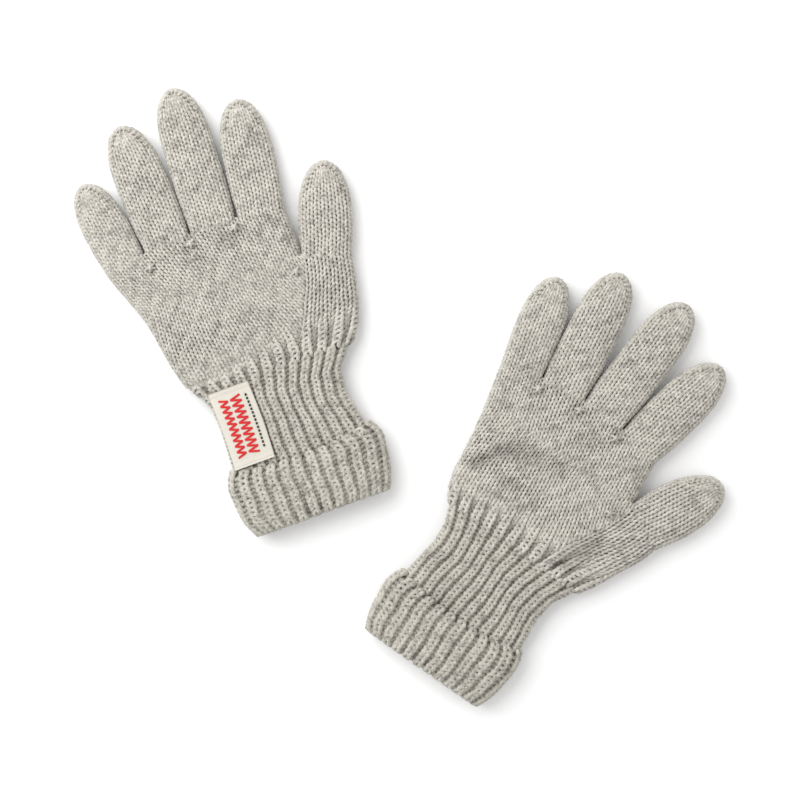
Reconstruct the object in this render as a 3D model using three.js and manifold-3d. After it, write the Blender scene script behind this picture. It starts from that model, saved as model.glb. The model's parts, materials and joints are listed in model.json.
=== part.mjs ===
// A pair of knitted gloves laid flat: the left glove with its back up, the right glove with its palm up.
// Millimetres, +Z up, the surface they lie on is Z = 0.
//
// Each glove is modelled in its own frame: origin at the middle of the cuff's folded edge, +Y towards
// the fingertips, +X towards the thumb. Every tube of knitting is hollow and open where a hand goes in.

import * as THREE from 'three';
import { mergeVertices } from 'three/addons/utils/BufferGeometryUtils.js';
import Module from 'manifold-3d';

const wasm = await Module();
wasm.setup();

// Knitting: how thick each tube lies, and how thick its fabric is
const FABRIC = 2.2;
const GAP = 0.35;
const HAND_THICKNESS = 13;
const DIGIT_THICKNESS = 12.4;
const CUFF_THICKNESS = 17;
const WRIST_LIFT = FABRIC + GAP + 0.3;
const WRIST_THICKNESS = CUFF_THICKNESS - 2 * WRIST_LIFT;
const EDGE_ROUND = 4;

// Lengths along the glove
const CUFF_TOP = 34;
const WRIST_START = 1.5;
const HAND_START = 82;

// Digits
const DIGIT_SECTION_POWER = 2.6;
const DIGIT_SIDES = 20;
const TIP_STEPS = 4;
const LINK_RADIUS = 0.8;
const LINK_SWEEP = Math.PI * 0.8;
const LINK_STEPS = 10;

// Small pieces
const DARN_SIZE = new THREE.Vector3(4.2, 2.6, 1.8);
const LABEL_THICKNESS = 0.9;
const THREAD_SIZE = new THREE.Vector3(20, 0.9, 0.5);
const THREAD_INSET = 1.6;

// A digit: middle of its base line, lean from +Y towards the thumb in degrees, base width, length to the tip
const digit = (x, y, lean, width, length) => ({ x, y, lean, width, length });

const LEFT_GLOVE = {
  name: 'left',
  at: [-39.2, -60.5],
  turn: 20,
  digits: {
    pinky: digit(-55.8, 160, -8.5, 22.6, 50.5),
    ring: digit(-31, 163.8, -2.6, 25.2, 69),
    middle: digit(-4.8, 164.6, 2.8, 25, 77.8),
    index: digit(21.8, 162.5, 7.5, 25.2, 63),
    thumb: digit(47, 129.2, 17.8, 26.8, 51.5),
  },
  littleSide: [[-42.5, HAND_START], [-48.2, 89], [-52, 103], [-55.2, 124], [-60.2, 144]],
  thumbSide: [[44, HAND_START], [49.8, 89], [54.8, 101], [58, 115]],
  wristLittleSide: [[-36.5, WRIST_START], [-38.5, 34], [-38.5, 46], [-37.5, 62], [-38.5, 74], [-42, HAND_START]],
  wristThumbSide: [[33, WRIST_START], [36, 34], [34, 44], [31.8, 58], [33, 71], [42, HAND_START]],
  cuffLittleSide: [[-40, 0], [-43.5, 12], [-44.7, 26], [-42, CUFF_TOP]],
  cuffThumbSide: [[37, 0], [40.8, 14], [42.6, 27], [39.5, CUFF_TOP]],
  darns: [[-43.2, 154.8], [-18.6, 159.6], [6.5, 159.8], [29.2, 126.5]],
  label: { x: -26.6, y: 59.5, width: 22.6, height: 43 },
};

const RIGHT_GLOVE = {
  name: 'right',
  at: [11.3, -144.2],
  turn: -35,
  digits: {
    pinky: digit(-47.6, 161.6, -12.8, 22.8, 54),
    ring: digit(-23.2, 165.6, -7.8, 25, 70.5),
    middle: digit(2, 167, 2.8, 24.8, 75),
    index: digit(27.2, 163.6, 11.2, 25, 62.5),
    thumb: digit(53.9, 130.3, 27.5, 28, 48.5),
  },
  littleSide: [[-39, HAND_START], [-43, 87], [-46.8, 98], [-49.5, 118], [-53.5, 138]],
  thumbSide: [[45.5, HAND_START], [50.5, 90], [58.8, 105.5], [63.8, 115.8]],
  wristLittleSide: [[-35.5, WRIST_START], [-37, 34], [-35.5, 46], [-33.2, 60], [-34.2, 72], [-38, HAND_START]],
  wristThumbSide: [[34, WRIST_START], [36.5, 34], [36.3, 44], [35.2, 58], [36.8, 70], [43.5, HAND_START]],
  cuffLittleSide: [[-38, 0], [-40.5, 12], [-42.4, 25], [-40, CUFF_TOP]],
  cuffThumbSide: [[36.5, 0], [39.6, 12], [41.3, 24], [39.8, CUFF_TOP]],
  darns: [[-34.8, 158.5], [-10.1, 161.6], [14, 160.5], [34.6, 126]],
};

// Materials

function yarn(shade) {
  return new THREE.MeshStandardMaterial({ color: new THREE.Color(shade), roughness: 0.95, metalness: 0 });
}

const heatherYarn = () => yarn(0xbdbab0);
const ribYarn = () => yarn(0xb2afa4);
const darningYarn = () => yarn(0x8f8b80);
const labelCloth = () => yarn(0xe9e4d6);
const sewingThread = () => yarn(0xf1ede2);

// Solids

function solidOf(geometry) {
  const bare = geometry.clone();
  bare.deleteAttribute('normal');
  bare.deleteAttribute('uv');
  const merged = mergeVertices(bare, 1e-4);
  return new wasm.Manifold(new wasm.Mesh({
    numProp: 3,
    vertProperties: Float32Array.from(merged.attributes.position.array),
    triVerts: Uint32Array.from(merged.index.array),
  }));
}

function geometryOf(solid) {
  const mesh = solid.getMesh();
  const geometry = new THREE.BufferGeometry();
  geometry.setAttribute('position', new THREE.BufferAttribute(mesh.vertProperties, 3));
  geometry.setIndex(new THREE.BufferAttribute(mesh.triVerts, 1));
  geometry.computeVertexNormals();
  return geometry;
}

function meshNode(name, geometry, material) {
  const mesh = new THREE.Mesh(geometry, material);
  mesh.name = name;
  return mesh;
}

// A flat-bottomed pad over a closed outline, from z low to z high, with rounded edges of the given size
function pad(outline, low, high, round) {
  const shape = new THREE.Shape(outline.map(([x, y]) => new THREE.Vector2(x, y)));
  const geometry = new THREE.ExtrudeGeometry(shape, {
    depth: high - low - 2 * round,
    bevelEnabled: round > 0,
    bevelThickness: round,
    bevelSize: round,
    bevelOffset: -round,
    bevelSegments: 3,
  });
  geometry.translate(0, 0, low + round);
  return solidOf(geometry);
}

// A box lying along a lean, which starts at (x, y) and reaches `reach` along it
function bar(x, y, lean, width, reach, low, high) {
  const geometry = new THREE.BoxGeometry(width, reach, high - low);
  geometry.translate(0, reach / 2, (low + high) / 2);
  geometry.rotateZ(-THREE.MathUtils.degToRad(lean));
  geometry.translate(x, y, 0);
  return solidOf(geometry);
}

function ahead({ x, y, lean }, along, across = 0) {
  const angle = THREE.MathUtils.degToRad(lean);
  return [
    x + along * Math.sin(angle) + across * Math.cos(angle),
    y + along * Math.cos(angle) - across * Math.sin(angle),
  ];
}

// A side of a tube moved inwards or outwards, and run past both of its ends
function movedSide(side, inwards, overrun) {
  const moved = side.map(([x, y]) => [x + inwards, y]);
  const first = moved[0];
  const last = moved[moved.length - 1];
  return [[first[0], first[1] - overrun], ...moved, [last[0], last[1] + overrun]];
}

// A ribbed tube between two sides, open at both ends
function openTube(littleSide, thumbSide, low, high, bottom, top) {
  const overrun = 2 * EDGE_ROUND;
  const outline = (inset, past) => [
    ...movedSide(thumbSide, -inset, past),
    ...movedSide(littleSide, inset, past).reverse(),
  ];
  const wide = 400;
  const outer = pad(outline(0, overrun), low, high, EDGE_ROUND)
    .subtract(bar(0, top, 0, wide, wide, low - 1, high + 1))
    .subtract(bar(0, bottom - wide, 0, wide, wide, low - 1, high + 1));
  const hollow = pad(outline(FABRIC, 2 * overrun), low + FABRIC, high - FABRIC, EDGE_ROUND - FABRIC);
  return geometryOf(outer.subtract(hollow));
}

// The hand tube: one hollow from the wrist's mouth to the five mouths that the digits open from
function handTube(glove) {
  const { pinky, ring, middle, index, thumb } = glove.digits;
  const stub = 12;
  const half = (each) => each.width / 2;
  const fingers = [index, middle, ring, pinky];
  const outlineAt = (inset, below) => [
    [glove.thumbSide[0][0] - inset, HAND_START - below],
    ...glove.thumbSide.map(([x, y]) => [x - inset, y + inset / 3]),
    ahead(thumb, 0, half(thumb) - inset),
    ahead(thumb, stub, half(thumb) - inset),
    ahead(thumb, stub, inset - half(thumb)),
    ahead(thumb, 0.5 - inset, inset - half(thumb)),
    ahead(index, -10, half(index) - inset),
    ...fingers.flatMap((each) => [
      ahead(each, stub, half(each) - inset),
      ahead(each, stub, inset - half(each)),
      ahead(each, -inset - 0.2, inset - half(each)),
    ]),
    ...glove.littleSide.slice(1).reverse().map(([x, y]) => [x + inset, y]),
    [glove.littleSide[0][0] + inset, HAND_START],
    [glove.littleSide[0][0] + inset, HAND_START - below],
  ];
  const wide = 300;
  let outer = pad(outlineAt(0, 8), 0, HAND_THICKNESS, EDGE_ROUND)
    .subtract(bar(0, HAND_START - wide, 0, wide, wide, -1, HAND_THICKNESS + 1));
  for (const each of [...fingers, thumb]) {
    const [x, y] = ahead(each, 0);
    outer = outer.subtract(bar(x, y, each.lean, each.width + 6, 40, -1, HAND_THICKNESS + 1));
  }
  const inner = pad(outlineAt(FABRIC, 16), FABRIC, HAND_THICKNESS - FABRIC, EDGE_ROUND - FABRIC);
  return geometryOf(outer.subtract(inner));
}

// A digit: a flattened cup, closed at the tip and open at its base, lying along +Y
function digitCup({ width, length }) {
  const tip = (radius, top, from, to) => {
    const points = [];
    for (let step = 0; step <= TIP_STEPS; step += 1) {
      const angle = THREE.MathUtils.lerp(from, to, step / TIP_STEPS);
      points.push(new THREE.Vector2(radius * Math.cos(angle), top - radius + radius * Math.sin(angle)));
    }
    return points;
  };
  const outerRadius = width / 2;
  const innerRadius = outerRadius - FABRIC;
  const top = length - 2 * LINK_RADIUS - GAP;
  const quarter = Math.PI / 2;
  const outerTip = tip(outerRadius, top, 0, quarter);
  const innerTip = tip(innerRadius, top - FABRIC, quarter, 0);
  outerTip[TIP_STEPS].x = 0;
  innerTip[0].x = 0;
  const profile = [...innerTip, new THREE.Vector2(innerRadius, GAP), new THREE.Vector2(outerRadius, GAP), ...outerTip];
  const geometry = new THREE.LatheGeometry(profile, DIGIT_SIDES);
  const position = geometry.attributes.position;
  const point = new THREE.Vector3();
  for (let i = 0; i < position.count; i += 1) {
    point.fromBufferAttribute(position, i);
    const radius = Math.hypot(point.x, point.z);
    if (radius > 0) {
      const across = Math.abs(point.x) / radius;
      const deep = Math.abs(point.z) / radius;
      const power = DIGIT_SECTION_POWER;
      const swell = (across ** power + deep ** power) ** (-1 / power);
      const inner = radius <= innerRadius + 1e-6 && point.y <= top - FABRIC + 1e-6;
      const depthScale = inner ? (DIGIT_THICKNESS / 2 - FABRIC) / innerRadius : DIGIT_THICKNESS / width;
      point.x *= swell;
      point.z *= swell * depthScale;
    }
    position.setXYZ(i, point.x, point.y, point.z + DIGIT_THICKNESS / 2);
  }
  return geometryOf(solidOf(geometry));
}

// The linking thread that closes a fingertip: an arc over the end of the digit
function tipLink({ width, length }) {
  const radius = width / 2 + LINK_RADIUS + GAP;
  const centre = length - LINK_RADIUS - radius;
  const points = [];
  for (let step = 0; step <= LINK_STEPS; step += 1) {
    const angle = Math.PI / 2 + LINK_SWEEP * (step / LINK_STEPS - 0.5);
    points.push(new THREE.Vector3(radius * Math.cos(angle), centre + radius * Math.sin(angle), DIGIT_THICKNESS / 2));
  }
  const section = new THREE.Shape();
  section.absarc(0, 0, LINK_RADIUS, 0, 2 * Math.PI);
  return new THREE.ExtrudeGeometry(section, {
    steps: LINK_STEPS,
    curveSegments: 4,
    extrudePath: new THREE.CatmullRomCurve3(points),
  });
}

function darnKnot() {
  const geometry = new THREE.SphereGeometry(0.5, 10, 6);
  geometry.rotateX(Math.PI / 2);
  geometry.scale(DARN_SIZE.x, DARN_SIZE.y, DARN_SIZE.z);
  return geometryOf(solidOf(geometry));
}

// Assemblies

function addDigits(group, glove) {
  for (const [name, each] of Object.entries(glove.digits)) {
    const ray = new THREE.Group();
    ray.name = `${glove.name}_${name}_base`;
    ray.position.set(each.x, each.y, 0);
    ray.rotation.z = -THREE.MathUtils.degToRad(each.lean);
    ray.add(meshNode(`${glove.name}_${name}`, digitCup(each), heatherYarn()));
    ray.add(meshNode(`${glove.name}_${name}_tip_link`, tipLink(each), darningYarn()));
    group.add(ray);
  }
}

function addDarns(group, glove) {
  const names = ['pinky_ring', 'ring_middle', 'middle_index', 'thumb'];
  glove.darns.forEach(([x, y], i) => {
    const darn = meshNode(`${glove.name}_${names[i]}_darn`, darnKnot(), darningYarn());
    darn.position.set(x, y, HAND_THICKNESS + GAP + DARN_SIZE.z / 2);
    group.add(darn);
  });
}

function addLabel(group, glove) {
  const { x, y, width, height } = glove.label;
  const low = WRIST_LIFT + WRIST_THICKNESS + GAP;
  const patch = meshNode(`${glove.name}_label`, new THREE.BoxGeometry(width, height, LABEL_THICKNESS), labelCloth());
  patch.position.set(x, y, low + LABEL_THICKNESS / 2);
  group.add(patch);
  for (const [end, side] of [['top', 1], ['bottom', -1]]) {
    const row = new THREE.BoxGeometry(THREAD_SIZE.x, THREAD_SIZE.y, THREAD_SIZE.z);
    const thread = meshNode(`${glove.name}_label_stitching_${end}`, row, sewingThread());
    const across = y + side * (height / 2 - THREAD_INSET);
    thread.position.set(x, across, low + LABEL_THICKNESS + GAP + THREAD_SIZE.z / 2);
    group.add(thread);
  }
}

function makeGlove(glove) {
  const group = new THREE.Group();
  const cuff = openTube(glove.cuffLittleSide, glove.cuffThumbSide, 0, CUFF_THICKNESS, 0, CUFF_TOP);
  const wrist = openTube(
    glove.wristLittleSide,
    glove.wristThumbSide,
    WRIST_LIFT,
    CUFF_THICKNESS - WRIST_LIFT,
    WRIST_START,
    HAND_START - GAP,
  );
  group.add(meshNode(`${glove.name}_cuff`, cuff, ribYarn()));
  group.add(meshNode(`${glove.name}_wrist`, wrist, ribYarn()));
  group.add(meshNode(`${glove.name}_hand`, handTube(glove), heatherYarn()));
  addDigits(group, glove);
  addDarns(group, glove);
  if (glove.label) addLabel(group, glove);
  group.position.set(glove.at[0], glove.at[1], 0);
  group.rotation.z = THREE.MathUtils.degToRad(glove.turn);
  return group;
}

// The pair, with its origin under the middle of its box
const pair = new THREE.Group();
const laid = new THREE.Group();
laid.add(makeGlove(LEFT_GLOVE), makeGlove(RIGHT_GLOVE));
const box = new THREE.Box3().setFromObject(laid, true);
const middleOfBox = box.getCenter(new THREE.Vector3());
laid.position.set(-middleOfBox.x, -middleOfBox.y, -box.min.z);
pair.add(laid);

export default pair;
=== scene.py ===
"""A pair of heather grey knitted gloves lying flat.

Every course of the knitting is a real yarn that loops round its tube. Sizes are in millimetres in each
glove's own frame: x across it towards the thumb, y towards the fingertips and z up. Place.out turns
them into the row frame's metres. Wales count stitches across a tube, and courses count rows along it.
"""
import json
import math

import bpy
import numpy as np
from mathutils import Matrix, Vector


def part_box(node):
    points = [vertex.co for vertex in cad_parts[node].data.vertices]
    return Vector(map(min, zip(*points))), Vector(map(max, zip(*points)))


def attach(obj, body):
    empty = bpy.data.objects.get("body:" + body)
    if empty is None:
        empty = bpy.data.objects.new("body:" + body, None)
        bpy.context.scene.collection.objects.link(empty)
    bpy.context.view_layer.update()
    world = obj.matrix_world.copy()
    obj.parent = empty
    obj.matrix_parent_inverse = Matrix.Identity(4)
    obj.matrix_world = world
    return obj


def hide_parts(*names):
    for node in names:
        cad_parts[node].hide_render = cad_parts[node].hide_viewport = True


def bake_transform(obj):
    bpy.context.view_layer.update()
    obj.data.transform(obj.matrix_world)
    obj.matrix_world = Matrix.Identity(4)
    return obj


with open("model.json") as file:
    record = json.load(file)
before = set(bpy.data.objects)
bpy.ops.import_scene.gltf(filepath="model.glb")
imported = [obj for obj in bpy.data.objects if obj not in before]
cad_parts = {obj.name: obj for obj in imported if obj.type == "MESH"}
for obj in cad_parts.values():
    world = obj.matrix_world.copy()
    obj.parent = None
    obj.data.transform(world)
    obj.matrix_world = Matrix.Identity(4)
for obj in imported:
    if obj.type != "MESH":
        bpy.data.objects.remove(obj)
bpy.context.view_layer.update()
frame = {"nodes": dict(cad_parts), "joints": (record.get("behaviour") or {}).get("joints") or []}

DIGITS = ("pinky", "ring", "middle", "index", "thumb")
FINGERS = DIGITS[:4]
PARTS = ("hand", "wrist", "cuff")
DARNS = ("pinky_ring", "ring_middle", "middle_index", "thumb")
TURN = 2 * math.pi
UPWARD = np.tile([0.0, 0.0, 1.0], (9, 1))

# Yarn
YARN_RADIUS = 0.88
DIGIT_YARN = 0.96
RIB_YARN = 1.2
CUFF_YARN = 1.38
TIP_YARN = 0.85
YARN_SIDES = 5
STITCH_SAMPLES = 10
LUMPS = 0.07
UNEVEN = 0.06

# Stitches
COURSE = 2.4
RIB_COURSE = 2.25
LOOP_HEIGHT = 0.74
LOOP_DEPTH = 0.42
LOOP_LEAN = 0.2
HAND_WALES = 28
THUMB_WALES = 7
SIDE_WALES = 4
FINGER_WALES = 8
RIB_WALES = 23
GRID_PER_WALE = 4
RIB_STEPS = RIB_WALES * GRID_PER_WALE

# How far the yarn's middle lies inside each outline, and the shell behind the loops
SKIN = YARN_RADIUS + LOOP_DEPTH - 0.1
SIDE_SKIN = SKIN * 0.75
TIP_SKIN = SKIN * 0.6
RIB_SKIN = 2.3
RIB_SIDE_SKIN = RIB_SKIN * 0.6
LINER_SINK = 0.5
HAND_SINK = 0.9
RIB_SINK = 1.1
CUFF_SINK = 1.1
LINER_THICKNESS = 0.9

# Shares of the texture that the yarns take, and each shell
YARN_BAND = 0.88
LINER_BAND = 0.05

# Ribs, the cuff and the gathered courses above the ribs
RIB_RELIEF = 1.75
CUFF_RELIEF = 1.7
RIB_SPREAD = 0.21
RIB_SINKING = 0.35
RIB_DRIFT = 0.18
RIB_SLACK = 0.22
GATHER_START = 1.0
GATHER_END = 9.0
GATHERS = {"left": (3.0, 10.0), "right": (6.5, 9.5)}
CUFF_FOLD = 1.7
CUFF_ROUNDING = 1.1
CUFF_FLARE = 5.0
CUFF_INSIDE = (15, 12, 9, 6, 3)

# Hand
SECTION_POWER = 2.5
SIDE_CURVE = 12.5
KNUCKLE_LENGTH = 18
DEEPENS = (-18, 12)
SEAM_OVERLAP = 2.0
HAND_SLACK = 0.6
DIP_DEPTH = 2.4
DIP_WIDTH = 3.6
DIP_LENGTH = 7.5
# How much painted shade the yarn gets per millimetre of a fold's valley
FOLD_PAINTED_SHADE = 0.13
FOLD_FADE = 8.0

# Digits
DIGIT_BULGE = 0.09
BASE_FULLNESS = 0.05
BASE_CURVE = 2.5
BASE_BLEND = 16.0
TIP_LENGTH = 0.8
TIP_POINT = 1.8
TIP_EDGE = 0.14
TIP_STITCH = 2.9
TIP_PROUD = 0.35

# How far in from the rim each stitch over a fingertip's edge runs, from one face to the other
TIP_INSETS = (3.0, 2.4, 1.5, 0.4, -0.1, 0.4, 1.5, 2.4, 3.0)

# Darns: the turn, offset and half length of each yarn
DARN_YARNS = ((25, 0.7, 2.7), (155, -0.2, 2.4), (85, 0.3, 2.0))
DARN_YARN = 0.72
DARN_SINK = 1.3

# Label: its length, the way round its cloth, and how far in from each end it is sewn come first
LABEL_LENGTH = 43
LABEL_GIRTH = 48
LABEL_SEWN = 1.5
LABEL_LIFT = 3.1
LABEL_EDGE = 4.0
LABEL_WAVE = 0.7
LABEL_CLOTH = 0.5
LABEL_HEM_RISE = 0.35
THREAD_RADIUS = 0.22
THREAD_PITCH = 0.36
ZIGZAG_BARS = 20
ZIGZAG_STEP = 1.6
ZIGZAG_BAR = 1.15
ZIGZAG_ROWS = ((6.3, 1, 4.8), (13.0, -1, 5.8))
ZIGZAG_START = 5.6
DASHES = 15
DASH_START = 7.0
DASH_LENGTH = 1.2
DASH_WIDTH = 1.1
DASH_PITCH = 2.05
DASH_COLUMN = 18.9
STITCHES = 9
STITCH_START = 1.6
STITCH_PITCH = 2.3
STITCH_LENGTH = 1.4
STITCH_WIDTH = 0.3

# Floor, camera and light
VIEW_WIDTH = 0.432
LENS = 85.0
SENSOR = 36.0
CAMERA_XY = (0.0004, -0.0012)
WORLD_STRENGTH = 0.79
LAMPS = (("key", (-0.68, 0.55, 0.8), 1.2, 14.2), ("fill", (0.9, -0.4, 1.2), 1.2, 1.5))
PAPER = (0.93, 0.93, 0.93, 1)
FLOOR_SIZE = 40
FLOOR_Z = -0.0002

# Where the wrist sinks away from the cuff's free edge: x, half width and depth
WRIST_DIPS = {"left": (12, 9, 0.8), "right": (-10, 13, 2.2)}

# Folds of the upper fabric of each hand: points, width and height, in the hand's own millimetres
FOLDS = {
    "left": (
        (((-22, 20), (-6, 34), (16, 30)), 9, 0.7),
        (((30, 47), (38, 30), (34, 12)), 5, -0.9),
    ),
    "right": (
        (((-39, 25), (-27, 42), (-12, 47), (0, 46)), 4.8, -4.4),
        (((-41, 36), (-29, 53), (-9, 58)), 7, 2.2),
        (((40, 26), (35, 12), (29, 4)), 6.5, -4.6),
        (((32, 36), (27, 21), (18, 8)), 6.5, 2.4),
        (((38, 47), (35, 41), (30, 36)), 3, -1.3),
        (((20, 40), (2, 20)), 7, 0.6),
        (((-16, 24), (-3, 24), (-2, 12)), 5, -1.7),
        (((8, 49), (21, 48)), 5, -1.3),
    ),
}


# ---------------------------------------------------------------- the frame's places

class Place:
    """A flat frame of reference in the row frame: an origin and the direction of its y."""

    def __init__(self, origin, y_axis):
        self.origin = np.array([origin[0], origin[1], 0.0])
        self.y = np.array([y_axis[0], y_axis[1], 0.0]) / math.hypot(y_axis[0], y_axis[1])
        self.x = np.array([self.y[1], -self.y[0], 0.0])

    def out(self, points):
        """Local millimetres to metres in the row frame."""
        points = np.asarray(points, float)
        flat = points[..., :1] * self.x + points[..., 1:2] * self.y
        flat[..., 2] += points[..., 2]
        return (flat + self.origin) / 1000

    def into(self, points):
        """Metres in the row frame to local millimetres."""
        away = np.asarray(points, float) * 1000 - self.origin
        return np.stack([away @ self.x, away @ self.y, away[..., 2]], -1)


def node_triangles(node, place):
    """A CAD node's triangles in a place's millimetres."""
    mesh = frame["nodes"][node].data
    mesh.calc_loop_triangles()
    corners = np.array([t.vertices[:] for t in mesh.loop_triangles])
    points = np.array([v.co[:] for v in mesh.vertices])
    return place.into(points)[corners]


def node_box(node, place):
    """The lowest and highest corners of a CAD node in a place's millimetres."""
    corners = node_triangles(node, place).reshape(-1, 3)
    return corners.min(axis=0), corners.max(axis=0)


def sides_at(triangles, heights):
    """The lowest and highest x of a solid at each y."""
    starts = triangles.reshape(-1, 3)
    ends = np.roll(triangles, -1, axis=1).reshape(-1, 3)
    found = []
    for y in heights:
        crosses = (starts[:, 1] - y) * (ends[:, 1] - y) <= 0
        crosses &= np.abs(ends[:, 1] - starts[:, 1]) > 1e-6
        a, b = starts[crosses], ends[crosses]
        share = (y - a[:, 1]) / (b[:, 1] - a[:, 1])
        x = a[:, 0] + share * (b[:, 0] - a[:, 0])
        found.append((x.min(), x.max()))
    return np.array(found)


def joint(name):
    return next(j for j in frame["joints"] if j["name"] == name)


def place_at(joint_name, towards):
    """The place whose origin is a hinge and whose y points from it to a CAD node, square to the hinge."""
    hinge = joint(joint_name)
    position = np.array(hinge["pos_m"]) * 1000
    across = np.array(hinge["axis"])
    y_axis = np.array([-across[1], across[0]])
    low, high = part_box(towards)
    centre = np.array((low + high) / 2) * 1000
    if (centre - position)[:2] @ y_axis < 0:
        y_axis = -y_axis
    return Place(position, y_axis)


# ---------------------------------------------------------------- sections and surfaces

def unit(vectors):
    """The same vectors, each one long."""
    return vectors / np.maximum(np.linalg.norm(vectors, axis=-1, keepdims=True), 1e-9)


def lengths_along(points):
    """How far along a chain of points each of them lies."""
    return np.concatenate([[0], np.cumsum(np.linalg.norm(np.diff(points, axis=0), axis=1))])


def half_ring(half_width, half_depth, edges=(SIDE_CURVE, SIDE_CURVE)):
    """x, z and distance over the front of a flattened ring, from its left side to its right.

    edges are how far in from each side the fabric curves down."""
    angle = np.linspace(math.pi / 2, 0, 61)
    bent = (np.cos(angle) ** SECTION_POWER + np.sin(angle) ** SECTION_POWER) ** (-1 / SECTION_POWER)
    in_x, in_z = bent * np.cos(angle), bent * np.sin(angle)
    left, right = (min(edge, half_width) for edge in edges)
    x = np.concatenate([-half_width + left * (1 - in_x[::-1]), half_width - right * (1 - in_x)])
    z = half_depth * np.concatenate([in_z[::-1], in_z])
    return x, z, np.concatenate([[0], np.cumsum(np.hypot(np.diff(x), np.diff(z)))])


def section(half_width, half_depth, fronts, edges=(SIDE_CURVE, SIDE_CURVE)):
    """x and z round a flattened ring, evenly spaced: over the front from left to right, then back beneath.

    fronts is how many steps the front has. The ring returns to its start, so it has 2 * fronts + 1 points."""
    x, z, length = half_ring(half_width, half_depth, edges)
    even = np.linspace(0, length[-1], fronts + 1)
    front_x = np.interp(even, length, x)
    front_z = np.interp(even, length, z)
    return np.concatenate([front_x, front_x[-2::-1]]), np.concatenate([front_z, -front_z[-2::-1]])


def section_at(half_width, half_depth, arcs):
    """x and z at distances over a ring's front from its left side, cut off at its right side."""
    x, z, length = half_ring(half_width, half_depth)
    return np.interp(arcs, length, x), np.interp(arcs, length, z)


def front_length(half_width, half_depth):
    return half_ring(half_width, half_depth)[2][-1]


def smooth(t):
    t = np.clip(t, 0, 1)
    return t * t * (3 - 2 * t)


def swell(x, y, seed):
    """The slow unevenness of a limp fabric, from -1 to 1."""
    return (
        np.sin(x * 0.11 + y * 0.052 + seed)
        + np.sin(y * 0.094 - x * 0.043 + 2.1 * seed)
        + 0.7 * np.sin(x * 0.19 - y * 0.17 + 3.7 * seed)
    ) / 2.7


class Surface:
    """A closed tube of fabric as a grid of points, by course and wale step.

    first is the first row's course."""

    def __init__(self, grid, first, wales):
        self.grid = np.asarray(grid, float)
        self.first = first
        self.wales = wales

    def at(self, wale, course):
        """Points at any wale and course, which may be fractions. Wales go round the tube."""
        rows, columns = self.grid.shape[:2]
        columns -= 1
        across = np.mod(wale / self.wales * columns, columns)
        along = np.clip(course - self.first, 0, rows - 1.0001)
        i = along.astype(int)
        j = np.minimum(across.astype(int), columns - 1)
        s = (along - i)[..., None]
        t = (across - j)[..., None]
        g = self.grid
        low = g[i, j] * (1 - t) + g[i, j + 1] * t
        high = g[i + 1, j] * (1 - t) + g[i + 1, j + 1] * t
        return low * (1 - s) + high * s

    def normal(self, wale, course):
        step = 0.3
        across = self.at(wale + step, course) - self.at(wale - step, course)
        along = self.at(wale, course + step) - self.at(wale, course - step)
        return unit(np.cross(across, along))


# ---------------------------------------------------------------- yarn

def wobble(wale, course, seed):
    """How unevenly the stitches sit, from -1 to 1, drifting along each yarn."""
    return (np.sin(2.3 * wale + 5.1 * course + seed) + np.sin(3.7 * wale - 8.3 * course + 2 * seed)) / 2


def plain_loops(surface, wale, course, count=None):
    """The path of one course of plain knitting. count tells the stitches where wale has been shifted."""
    phase = TURN * ((wale if count is None else count) - 0.5)
    w = wale + LOOP_LEAN * np.sin(2 * phase) + UNEVEN * wobble(wale, course, 1)
    c = course + LOOP_HEIGHT * np.cos(phase) + UNEVEN * wobble(wale, course, 2)
    out = surface.normal(w, c)
    depth = -LOOP_DEPTH * np.cos(2 * phase) + UNEVEN * wobble(wale, course, 3)
    return surface.at(w, c) + out * depth[..., None], out, depth


def ribs(relief, courses):
    """Where one-by-one rib lies: even wales stand proud by the relief and odd ones are sunk.

    The ribs sway a little and lie slacker in places, between the first of the courses and the last.
    Gives a function from wale and course to the wale's own place on the surface and its rise."""
    def lie(surface, wale, course):
        turn = math.pi * (wale - 0.5)
        within = np.sin(math.pi * course / courses)
        sway = RIB_DRIFT * within * np.sin(0.42 * course + TURN * 2 * wale / surface.wales)
        slack = 1 - RIB_SLACK * within * (1 + np.sin(0.31 * course - TURN * 3 * wale / surface.wales)) / 2
        return wale + RIB_SPREAD * np.sin(turn) + sway, relief * slack * (np.cos(turn) - RIB_SINKING)
    return lie


def gathers(ends):
    """Where plain knitting lies above ribs: its lowest courses still rise and sink with them.

    ends are the courses where that stops, at the little-finger side and at the thumb's."""
    def lie(surface, wale, course):
        share = np.minimum(wale, surface.wales - wale) / (surface.wales / 2)
        end = ends[0] + (ends[1] - ends[0]) * smooth((share - 0.25) / 0.3)
        left = 1 - smooth((course - GATHER_START) / (end - GATHER_START))
        turn = math.pi * (wale - 0.5)
        return wale + RIB_SPREAD * left * np.sin(turn), RIB_RELIEF * left * (np.cos(turn) - RIB_SINKING)
    return lie


def rib_loops(lie):
    """Loops of rib: those of the sunk wales are reversed."""
    def path(surface, wale, course):
        phase = TURN * (wale - 0.5)
        knit = np.cos(math.pi * (wale - 0.5))
        w, rise = lie(surface, wale, course)
        w = w + LOOP_LEAN * np.sin(2 * phase) + UNEVEN * wobble(wale, course, 1)
        c = course + LOOP_HEIGHT * np.cos(phase) + UNEVEN * wobble(wale, course, 2)
        out = surface.normal(w, c)
        depth = rise - LOOP_DEPTH * np.cos(2 * phase) * np.sign(knit) * np.abs(knit) ** 0.5
        return surface.at(w, c) + out * depth[..., None], out, depth
    return path


def gathered_loops(lie):
    """Plain loops that rise and sink with the ribs below them."""
    def path(surface, wale, course):
        w, rise = lie(surface, wale, course)
        points, out, depth = plain_loops(surface, w, course, wale)
        return points + out * rise[..., None], out, depth + rise
    return path


def wale_sweep(start, end):
    """Evenly spaced wale positions, close enough together for a smooth loop."""
    return np.linspace(start, end, int(round((end - start) * STITCH_SAMPLES)) + 1)


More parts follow.
